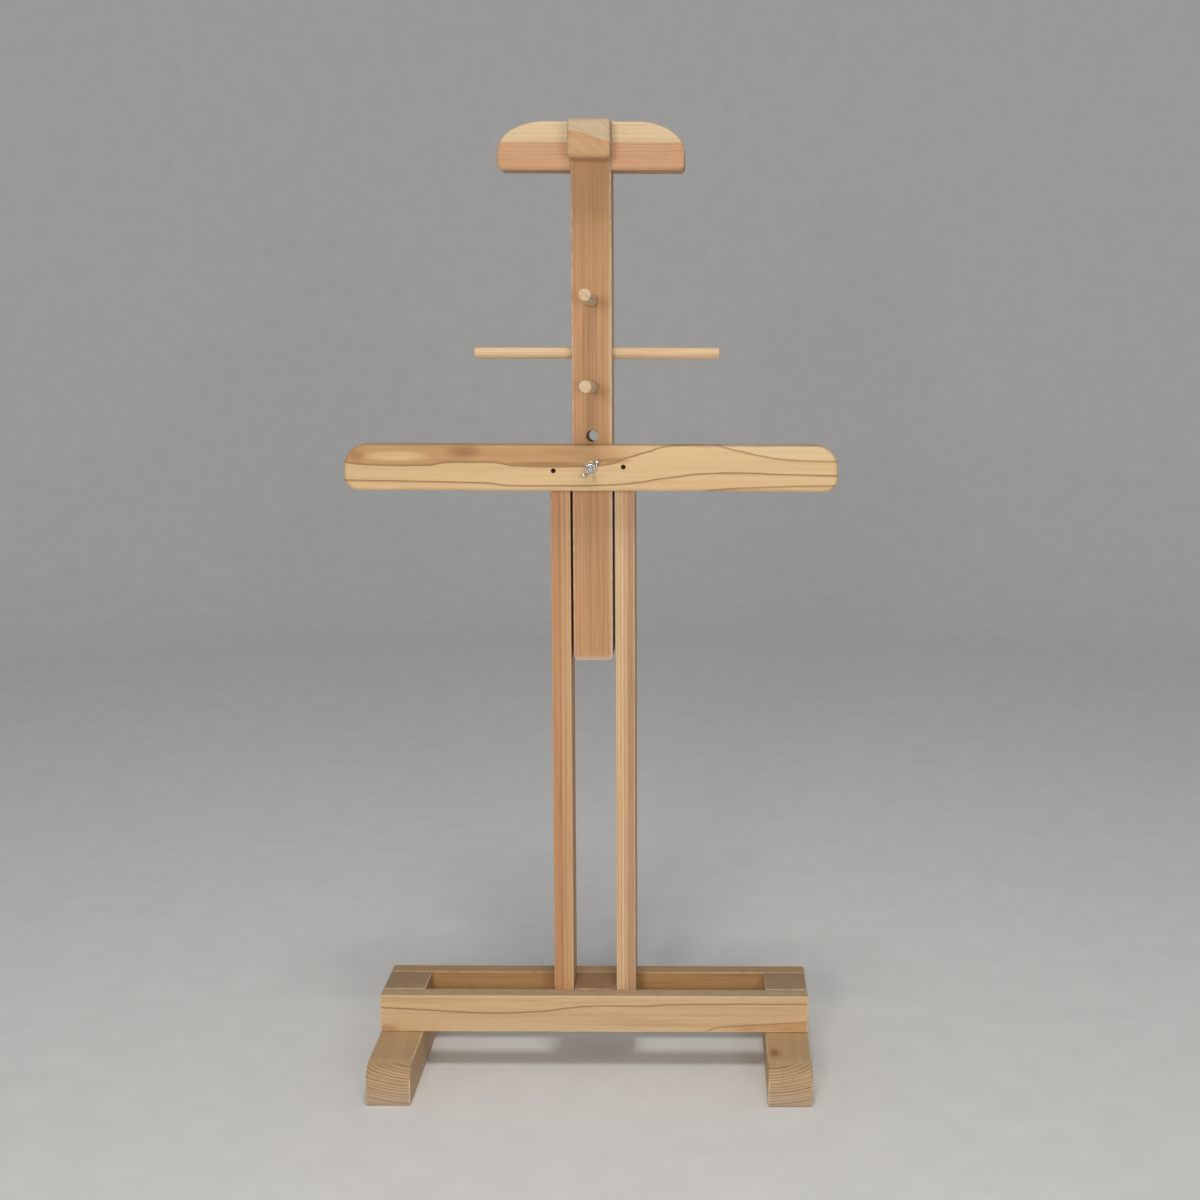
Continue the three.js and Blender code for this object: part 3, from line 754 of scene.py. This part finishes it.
def upright_pine(node, seed, left, right, edge, stripes, pith):
    wood = Pine("pine_" + node, node, "z", seed)
    latewood = wood.rings(pith, 2.7, 1.5)
    across = wood.math("MULTIPLY_ADD", wood.drift, 2.0, wood.axis["x"])
    color = wood.two_woods(left, right, wood.math("MULTIPLY", wood.math("SUBTRACT", across, edge), 0.35))
    color = wood.mix(wood.product(latewood, 0.16), color, UPRIGHT_LATE)
    color = wood.stripes(wood.streaked(color, 1.2), stripes)
    return wood.surface_of(color, latewood, wear=0.45)


def add_uprights():
    for node, values in UPRIGHTS.items():
        stand_for(square_board(node, upright_pine(node, *values)), node, "frame")


# Shoulder bar: cream sapwood between wandering year lines, darker heartwood along its upper left
BAR_UPPER_LINE = [(-249, 645.2), (-215, 641.5), (-166, 641.4), (-142, 644.4), (-100, 644.5), (-76, 641.1),
                  (-20, 640.5), (9, 641.8), (34, 648.7), (59, 655.8), (90, 662.0), (249, 662.5)]
BAR_LOWER_LINE = [(-249, 626.6), (-211, 626.4), (-142, 625.2), (-107, 624.5), (-76, 621.8), (-1, 622.3),
                  (33, 623.8), (68, 628.7), (89, 631.6), (109, 634.0), (148, 635.3), (189, 633.9),
                  (249, 632.8)]
BAR_LOW_RIGHT_LINE = [(-249, 600.0), (80, 606.0), (111, 615.7), (138, 619.3), (172, 620.8), (215, 622.1),
                      (249, 622.3)]
BAR_HIGH_RIGHT_LINE = [(-249, 700.0), (110, 666.0), (151, 656.7), (172, 652.4), (198, 648.6), (217, 647.4),
                       (249, 647.2)]
BAR_BROWN_SPOTS = [  # middle and reach (x, z), depth
    ((-128, 656), (22, 9), 0.85), ((-236, 651), (10, 9), 0.60), ((-140, 646.5), (30, 2.6), 0.35),
    ((-45, 643.5), (50, 3.2), 0.75), ((24, 647), (20, 4), 0.70), ((-150, 661.5), (60, 2.5), 0.40),
    ((3, 629.5), (2.5, 5), 0.35), ((-30, 656), (30, 5), 0.20),
]
BAR_PALE_OVAL = ((-196, 651), (36, 5.5))
BAR_EARLY = (0.74, 0.51, 0.265)
BAR_LATE = (0.60, 0.37, 0.16)
BAR_HEART = (0.53, 0.285, 0.115)
BAR_BROWN = (0.36, 0.18, 0.07)
BAR_UPPER_ROUND = 23 * MM
BAR_LOWER_ROUND = 14 * MM


def bar_pine():
    wood = Pine("pine_shoulder_bar", "shoulder_bar", "x", 10.0)
    latewood = wood.rings((60, 860), 19, 8)
    color = wood.mix(wood.product(latewood, 0.16), BAR_EARLY, BAR_LATE)
    above = wood.math("SUBTRACT", wood.axis["z"], wood.line(wood.axis["x"], BAR_UPPER_LINE))
    heart = wood.product(wood.smooth(-0.5, 1.5, above), wood.smooth(0.0, 70.0, wood.axis["x"], 0.85, 0.0))
    heart = wood.product(heart, wood.smooth(0.45, 1.15, wood.spot(*BAR_PALE_OVAL), 0.15, 1.0))
    color = wood.mix(heart, color, BAR_HEART)
    for middle, reach, depth in BAR_BROWN_SPOTS:
        brown = wood.smooth(0.25, 1.1, wood.spot(middle, reach), depth, 0.0)
        color = wood.mix(brown, color, BAR_BROWN)
    right = wood.math("SUBTRACT", wood.axis["z"], wood.line(wood.axis["x"], BAR_HIGH_RIGHT_LINE))
    color = wood.mix(wood.smooth(0.0, 2.0, right, 0.0, 0.35), color, CREAM)
    color = wood.streaked(color, 0.6)
    color = wood.ring_line(color, BAR_UPPER_LINE, 1.0, -2.6, 0.9)
    color = wood.ring_line(color, BAR_LOWER_LINE, 1.0, 2.4, 0.8)
    color = wood.ring_line(color, BAR_LOW_RIGHT_LINE, 0.85, 2.5, 0.9)
    color = wood.ring_line(color, BAR_HIGH_RIGHT_LINE, 0.80, 2.5, 0.9)
    return wood.surface_of(color, latewood, wear=0.45, patina=0.65)


def add_shoulder_bar():
    low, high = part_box("shoulder_bar")
    upper = round_corner(BAR_UPPER_ROUND)
    lower = round_corner(BAR_LOWER_ROUND)
    points = outline(low.x, high.x, low.z, high.z, [lower, lower, upper, upper])
    bar = board("shoulder_bar_board", points, low.y, high.y, BAR_EDGE, bar_pine())
    past = 5 * MM
    cutters = [towards_viewer(drill(BOLT_BORE, -past, high.y - low.y + past), 0, high.y, BOLT_HEIGHT)]
    for node in ("shoulder_screw_left", "shoulder_screw_right"):
        cutters.append(screw_bore(node, low.y))
    combine(bar, cutters)
    stand_for(bar, "shoulder_bar", "frame")


# Screws: dull steel, sunk in holes with crushed rims
SCREW_TINT = (0.055, 0.038, 0.026)
SCREW_SHANK = 0.7              # radii as shares of the head's
SCREW_FACE = 0.8
RECESS_MOUTH = 0.35
RECESS_BOTTOM = 0.25
RECESS_DEPTH = 1.2 * MM
SCREW_POINT = 4 * MM
SCREW_HEAD_HEIGHT = 2.5 * MM
SCREW_NECK = 1 * MM
SCREW_HEAD_EDGE = 0.4 * MM


def screw_bore(node, face_y):
    """A hole with a slightly crushed rim, down to just below the screw's head."""
    low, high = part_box(node)
    middle = (low + high) / 2
    radius = (high.x - low.x) / 2 + GLUE_GAP
    rim = 0.5 * MM
    bottom = low.y - face_y + 3 * MM
    mouth = radius + rim
    profile = [(0, -rim), (mouth, -rim), (mouth, 0), (radius, rim), (radius, bottom), (0, bottom)]
    cutter = lathe("cutter", profile)
    inwards = Matrix.Rotation(-math.pi / 2, 4, "X")
    cutter.data.transform(Matrix.Translation((middle.x, face_y, middle.z)) @ inwards)
    return cutter


def add_screws():
    steel = metal("screw_steel", SCREW_TINT, 0.55)
    for node in ("shoulder_screw_left", "shoulder_screw_right"):
        low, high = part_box(node)
        middle = (low + high) / 2
        head = (high.x - low.x) / 2
        length = high.y - low.y
        under_head = length - SCREW_HEAD_HEIGHT
        recess = length - RECESS_DEPTH
        profile = [(0, 0), (SCREW_SHANK * head, SCREW_POINT), (SCREW_SHANK * head, under_head - SCREW_NECK),
                   (head, under_head), (head, length - SCREW_HEAD_EDGE), (SCREW_FACE * head, length),
                   (RECESS_MOUTH * head, length), (RECESS_BOTTOM * head, recess), (0, recess)]
        screw = lathe(node + "_steel", profile, steel)
        stand_for(towards_viewer(screw, middle.x, high.y, middle.z), node, "frame")


# Post: quarter-sawn, pinkish, with fine straight years
POST_CORNER = 5 * MM
POST_STRIPES = [(-17.2, 0.8, 0.24), (-13.5, 0.6, 0.20), (-9.6, 0.7, 0.22), (-6.4, 0.5, 0.16),
                (-2.6, 0.9, 0.20), (1.4, 0.6, 0.20), (4.8, 0.8, 0.18), (8.8, 0.5, 0.22), (12.1, 0.7, 0.18),
                (15.2, 0.6, 0.22)]
POST_LEFT = (0.60, 0.315, 0.165)
POST_MAIN = (0.56, 0.31, 0.145)
POST_STRIP = (0.64, 0.46, 0.275)
# painted shade: colour of the post just under the head
POST_HEAD_SHADE = (0.47, 0.25, 0.105)
POST_LATE = (0.38, 0.18, 0.075)
POST_SAWN = (0.60, 0.46, 0.36)
POST_FOOT = 438                # the sawn lower end looks paler


def post_pine():
    wood = Pine("pine_post", "post", "z", 11.0)
    latewood = wood.rings((10, 160), 2.3, 2.0)
    across = wood.math("MULTIPLY_ADD", wood.drift, 6.0, wood.axis["x"])
    color = wood.mix(wood.smooth(-19.0, -8.0, across), POST_LEFT, POST_MAIN)
    color = wood.mix(wood.smooth(16.0, 18.0, wood.axis["x"], 0.0, 0.75), color, POST_STRIP)
    # painted shade: the post darkens up towards the head, as in the head's shadow
    color = wood.mix(wood.smooth(770.0, 900.0, wood.axis["z"], 0.0, 0.55), color, POST_HEAD_SHADE)
    color = wood.mix(wood.product(latewood, 0.22), color, POST_LATE)
    color = wood.stripes(wood.streaked(color, 1.1), POST_STRIPES, wander=2.5)
    sawn = wood.smooth(POST_FOOT + 2.0, POST_FOOT + 7.0, wood.axis["z"], 0.55, 0.0)
    color = wood.mix(sawn, color, POST_SAWN)
    return wood.surface_of(color, latewood, wear=0.7)


def add_post():
    low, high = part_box("post")
    middle_y = (low.y + high.y) / 2
    corner = round_corner(POST_CORNER)
    top = round_corner(EDGE * CORNER)
    points = outline(low.x, high.x, low.z, high.z, [corner, corner, top, top])
    post = board("post_board", points, low.y, high.y, EDGE, post_pine())
    past = 4 * MM
    bore = DOWEL_RADIUS + DOWEL_CLEARANCE
    cutters = [
        box_cutter((low.x - past, middle_y, HEAD_BOTTOM - GLUE_GAP),
                   (high.x + past, high.y + past, high.z + past)),
        slot_cutter(low.y - past, high.y + past),
        peg_bore(DOWEL_RADIUS, SPARE_HOLE_HEIGHT, low.y, high.y),
    ]
    for height in PEG_HEIGHTS.values():
        cutters.append(peg_bore(bore, height, low.y, high.y))
    dowel_low, dowel_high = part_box("cross_dowel")
    cross = drill(bore, 0, high.x - low.x + 2 * past)
    cutters.append(to_right(cross, low.x - past, middle_y, (dowel_low.z + dowel_high.z) / 2))
    combine(post, cutters)
    stand_for(post, "post", "post")


def peg_bore(radius, height, front_y, back_y):
    """A hole along a peg's rising axis, with its rims broken at both faces."""
    rim = 0.45 * MM
    past = 3 * MM
    depth = (back_y - front_y) / math.cos(PEG_RISE)
    profile = [(0, -past), (radius + rim, -past), (radius + rim, 0), (radius, rim), (radius, depth - rim),
               (radius + rim, depth), (radius + rim, depth + past), (0, depth + past)]
    cutter = lathe("cutter", profile)
    turn = Matrix.Rotation(-PEG_RISE - math.pi / 2, 4, "X")
    cutter.data.transform(Matrix.Translation((0, front_y, height)) @ turn)
    return cutter


def slot_cutter(front, back):
    """The slot that the bolt runs in: a round-ended prism through the post."""
    steps = 16
    points = []
    for centre, start in ((SLOT_TOP, 0), (SLOT_BOTTOM, math.pi)):
        for k in range(steps + 1):
            angle = start + math.pi * k / steps
            points.append((BOLT_BORE * math.cos(angle), centre + BOLT_BORE * math.sin(angle)))
    return prism("cutter", [[Vector((u, y, v)) for u, v in points] for y in (front, back)])


# Pegs and cross dowel: pale close-grained rod with broken ends
PEG_EARLY = (0.74, 0.55, 0.36)
PEG_LATE = (0.42, 0.25, 0.12)
CROSS_EARLY = (0.79, 0.565, 0.35)
CROSS_LATE = (0.54, 0.31, 0.15)
DOWEL_LIP = 0.9 * MM


def rod(name, length, material):
    """A dowel along +Z with softly broken ends."""
    radius, lip, bend = DOWEL_RADIUS, DOWEL_LIP, DOWEL_LIP / 4
    half = [(0, 0), (radius - lip, 0), (radius - bend, bend), (radius, lip)]
    return lathe(name, half + [(r, length - h) for r, h in reversed(half)], material)


def add_dowels():
    post_low, post_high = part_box("post")
    for node, height in PEG_HEIGHTS.items():
        low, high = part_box(node)
        tilt = 2 * DOWEL_RADIUS * math.sin(PEG_RISE)
        length = (high.y - low.y - tilt) / math.cos(PEG_RISE)
        root_y = high.y - tilt / 2
        root_z = height - (root_y - post_low.y) * math.tan(PEG_RISE)
        pine = plain_pine("wood_" + node, node, "y", height * 100, (22, height / MM + 30), 1.7, PEG_EARLY,
                          PEG_LATE, wave=1.5, contrast=0.75, end_share=0.0, wear=0.0, patina=0.1)
        peg = rod(node + "_rod", length, pine)
        stand_for(towards_viewer(peg, 0, root_y, root_z, PEG_RISE), node, "post")

    low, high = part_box("cross_dowel")
    middle = (low + high) / 2
    pine = plain_pine("wood_cross_dowel", "cross_dowel", "x", 13.0, (-4, 775), 2.4, CROSS_EARLY, CROSS_LATE,
                      wave=3.0, contrast=0.45, strength=1.2, end_share=0.3, wear=0.0, patina=0.0)
    dowel = rod("cross_dowel_rod", high.x - low.x, pine)
    stand_for(to_right(dowel, low.x, middle.y, middle.z), "cross_dowel", "post")


# Head: a crossbar, cream above and pink below, and a brow bar lapped across it
HEAD_ROUND = (46 * MM, 31 * MM)
HEAD_LOWER_ROUND = 5 * MM
BROW_ROUND = (10 * MM, 11 * MM)
BROW_LOWER_ROUND = 4 * MM
HEAD_LINES = [(978.2, 0.5, 0.14), (974.0, 0.5, 0.18), (969.6, 0.6, 0.18), (965.4, 0.6, 0.22),
              (959.8, 0.8, 0.36), (956.4, 0.6, 0.28), (952.6, 0.7, 0.34), (948.8, 0.6, 0.28),
              (945.2, 0.6, 0.26), (941.4, 0.7, 0.22)]
HEAD_CREAM_FROM = 961.0        # pink wood below, cream above
HEAD_PINK = (0.60, 0.335, 0.18)
HEAD_CREAM = (0.72, 0.54, 0.335)
HEAD_LATE = (0.46, 0.22, 0.10)
BROW_LOW_WOOD = (0.60, 0.365, 0.18)
BROW_TOP_WOOD = (0.56, 0.425, 0.275)
BROW_RED = (0.58, 0.27, 0.12)
BROW_TOP_FACE = (0.585, 0.445, 0.285)
BROW_LATE = (0.44, 0.24, 0.11)
BROW_LINE = [(-23.0, 969.3), (-8.3, 967.4), (1.4, 963.9), (21.0, 958.4)]


def crossbar_pine():
    wood = Pine("pine_head_crossbar", "head_crossbar", "x", 14.0)
    latewood = wood.rings((40, 860), 2.2, 3.0)
    above = wood.math("MULTIPLY", wood.math("SUBTRACT", wood.axis["z"], HEAD_CREAM_FROM), 0.45)
    above = wood.math("MULTIPLY_ADD", wood.drift, 2.0, above)
    color = wood.two_woods(HEAD_PINK, HEAD_CREAM, above)
    color = wood.mix(wood.product(latewood, 0.14), color, HEAD_LATE)
    color = wood.stripes(wood.streaked(color, 0.8), HEAD_LINES, wander=2.5, axis="z")
    return wood.surface_of(color, latewood, wear=0.6, patina=0.3)


def brow_pine():
    wood = Pine("pine_head_brow_bar", "head_brow_bar", "y", 15.0)
    latewood = wood.rings((-70, 860), 9, 4)
    above = wood.math("SUBTRACT", wood.axis["z"], wood.line(wood.axis["x"], BROW_LINE))
    color = wood.two_woods(BROW_LOW_WOOD, BROW_TOP_WOOD, above)
    color = wood.mix(wood.smooth(-9.0, 0.0, above, 0.0, 0.5), color, BROW_RED)
    color = wood.mix(wood.smooth(0.0, 0.6, above), color, BROW_TOP_FACE)
    color = wood.mix(wood.product(latewood, 0.18), color, BROW_LATE)
    return wood.surface_of(wood.streaked(color, 0.7), latewood, end_share=0.12, wear=0.4, patina=0.3)


def add_head():
    low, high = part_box("head_crossbar")
    brow_low, brow_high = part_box("head_brow_bar")
    post_low, post_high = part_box("post")
    past = 2 * MM
    lower = round_corner(HEAD_LOWER_ROUND)
    points = outline(low.x, high.x, low.z, high.z, [lower, lower, HEAD_ROUND, HEAD_ROUND])
    crossbar = board("head_crossbar_board", points, low.y, high.y, HEAD_EDGE, crossbar_pine())
    middle_y = (post_low.y + post_high.y) / 2
    brow_notch = box_cutter((brow_low.x - GLUE_GAP, low.y - past, LAP - GLUE_GAP),
                            (brow_high.x + GLUE_GAP, high.y + past, high.z + past))
    tongue_notch = box_cutter((post_low.x - GLUE_GAP, low.y - past, low.z - past),
                              (post_high.x + GLUE_GAP, middle_y + GLUE_GAP, LAP))
    combine(crossbar, [brow_notch, tongue_notch])
    stand_for(crossbar, "head_crossbar", "post")

    lower = round_corner(BROW_LOWER_ROUND)
    corners = [lower, lower, BROW_ROUND, BROW_ROUND]
    points = outline(brow_low.y, brow_high.y, brow_low.z, brow_high.z, corners)
    brow = board("head_brow_bar_board", points, brow_low.x, brow_high.x, BROW_EDGE, brow_pine(), plane="yz")
    housing = box_cutter((brow_low.x - past, low.y - GLUE_GAP, brow_low.z - past),
                         (brow_high.x + past, high.y + GLUE_GAP, LAP))
    combine(brow, [housing])
    stand_for(brow, "head_brow_bar", "post")


# Clamp: bolt, washers and wing nut in bright zinc
ZINC_TINT = (0.86, 0.86, 0.84)
THREAD_PITCH = 1.0 * MM
THREAD_DEPTH = 0.45 * MM
BOLT_RADIUS = 3 * MM
BOLT_HEAD_WIDTH = 10 * MM
BOLT_HEAD_HEIGHT = 4 * MM
NUT_BASE = 6 * MM
NUT_FOOT = 1.2 * MM            # height of the base's rim
NUT_CROWN = 0.8 * MM
NUT_NECK = 4.9 * MM
NUT_HEIGHT = 8 * MM
WING_REACH = 13 * MM
WING_CREST = 12 * MM
WING_SUNK = 1.2 * MM           # how far a wing is sunk in the neck
WING_LOWER_EDGE = [(6 * MM, 1.9 * MM), (2.4 * MM, 3.9 * MM), (0.7 * MM, 6.6 * MM)]  # in from the tip, height
WING_TIP_ARC = (-0.35, 0.8 * math.pi)
CAST_VOXEL = 0.25 * MM
WING_TIP_RADIUS = 3.4 * MM
WING_HALF = 1.25 * MM


def metal(name, tint, rough):
    """Plated steel: cloudy tint, fine pits and uneven gloss."""
    shader = Shader(name)
    place = shader.place_mm()
    cloud = shader.noise(place, 0.35, 4.0)
    pits = shader.noise(place, 3.0, 3.0)
    color = shader.mix(shader.smooth(0.35, 0.7, cloud), tint, tuple(part * 0.72 for part in tint))
    color = shader.mix(shader.smooth(0.6, 0.75, pits, 0.0, 0.35), color, tuple(part * 0.35 for part in tint))
    roughness = shader.math("MULTIPLY_ADD", cloud, 0.22, rough)
    return shader.finish(color, roughness, shader.bump(pits, 0.25, 0.03 * MM), metallic=1.0, specular=0.5)


def threaded_bolt(name, material, length):
    """A hexagon head below the origin and a threaded shank along +Z."""
    around = 36
    rows_a_turn = 6
    rows = int(length / THREAD_PITCH * rows_a_turn)
    rings = []
    for row in range(rows + 1):
        height = row * THREAD_PITCH / rows_a_turn
        point = min(1.0, (length - height) / THREAD_PITCH)
        ring = []
        for k in range(around):
            share = (height / THREAD_PITCH - k / around) % 1.0
            radius = (BOLT_RADIUS - THREAD_DEPTH * abs(2 * share - 1)) * (0.8 + 0.2 * point)
            angle = 2 * math.pi * k / around
            ring.append(Vector((radius * math.cos(angle), radius * math.sin(angle), height)))
        rings.append(ring)
    shank = prism(name, rings, material)
    corner = BOLT_HEAD_WIDTH / math.sqrt(3)
    bevel = 0.6 * MM
    overlap = 0.2 * MM
    bottom = -BOLT_HEAD_HEIGHT
    profile = [(0, bottom), (corner - bevel, bottom), (corner, bottom + bevel), (corner, 0),
               (BOLT_RADIUS, overlap), (0, overlap)]
    return combine(shank, [lathe("head", profile, segments=6)], "UNION")


def washer(name, material, outer, thickness):
    lip = 0.25 * MM
    inner = BOLT_BORE
    return lathe(name, [(inner, 0.4 * lip), (inner + 0.4 * lip, 0), (outer - lip, 0), (outer, lip),
                        (outer, thickness - lip), (outer - lip, thickness), (inner + 0.8 * lip, thickness),
                        (inner, thickness - 0.8 * lip), (inner, 0.4 * lip)], material)


def wing(side):
    """One wing of the nut, in the plane of X and Z: it sweeps out and forward to a round tip."""
    root = NUT_NECK - WING_SUNK
    points = [(root, NUT_FOOT)] + [(WING_REACH - inset, height) for inset, height in WING_LOWER_EDGE]
    steps = 12
    start, end = WING_TIP_ARC
    for k in range(steps + 1):
        angle = start + (end - start) * k / steps
        points.append((WING_REACH + WING_TIP_RADIUS * (math.cos(angle) - 1),
                       WING_CREST + WING_TIP_RADIUS * (math.sin(angle) - 1)))
    points += [(root + 3.2 * MM, NUT_HEIGHT), (root, NUT_HEIGHT - 1.4 * MM)]
    return prism("wing", [[Vector((side * u, w, v)) for u, v in points] for w in (-WING_HALF, WING_HALF)])


def wing_nut(name, material):
    """A cast wing nut along +Z: base, neck and wings melted together by a fine remesh, then bored."""
    profile = [(0, 0), (NUT_BASE, 0), (NUT_BASE, NUT_FOOT), (NUT_NECK + NUT_CROWN / 2, 2.6 * MM),
               (NUT_NECK, NUT_HEIGHT - NUT_CROWN), (NUT_NECK - NUT_CROWN, NUT_HEIGHT), (0, NUT_HEIGHT)]
    body = lathe(name, profile, material)
    combine(body, [wing(1), wing(-1)], "UNION")
    remesh = body.modifiers.new("cast", "REMESH")
    remesh.mode = "VOXEL"
    remesh.voxel_size = CAST_VOXEL
    soften = body.modifiers.new("soften", "SMOOTH")
    soften.factor = 0.5
    soften.iterations = 5
    combine(body, [])
    past = 6 * MM
    return combine(body, [drill(BOLT_BORE, -past, NUT_HEIGHT + past)])


def add_clamp():
    zinc = metal("zinc_bright", ZINC_TINT, 0.07)
    low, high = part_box("clamp_bolt")
    under_head = high.y - BOLT_HEAD_HEIGHT
    bolt = threaded_bolt("clamp_bolt_steel", zinc, under_head - low.y)
    stand_for(towards_viewer(bolt, 0, under_head, BOLT_HEIGHT), "clamp_bolt", "frame")
    for node, body in (("washer_back", "frame"), ("washer_front", "washer")):
        low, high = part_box(node)
        disc = washer(node + "_steel", zinc, (high.x - low.x) / 2, high.y - low.y)
        stand_for(towards_viewer(disc, 0, high.y, BOLT_HEIGHT), node, body)
    low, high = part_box("wing_nut")
    nut = wing_nut("wing_nut_steel", zinc)
    nut.data.transform(Matrix.Rotation(WING_ANGLE, 4, "Z"))
    stand_for(towards_viewer(nut, 0, high.y, BOLT_HEIGHT), "wing_nut", "wing_nut")


add_camera()
add_lights()
add_backdrop()
add_rails()
add_feet()
add_blocks()
add_uprights()
add_shoulder_bar()
add_screws()
add_post()
add_dowels()
add_head()
add_clamp()

bpy.context.view_layer.update()
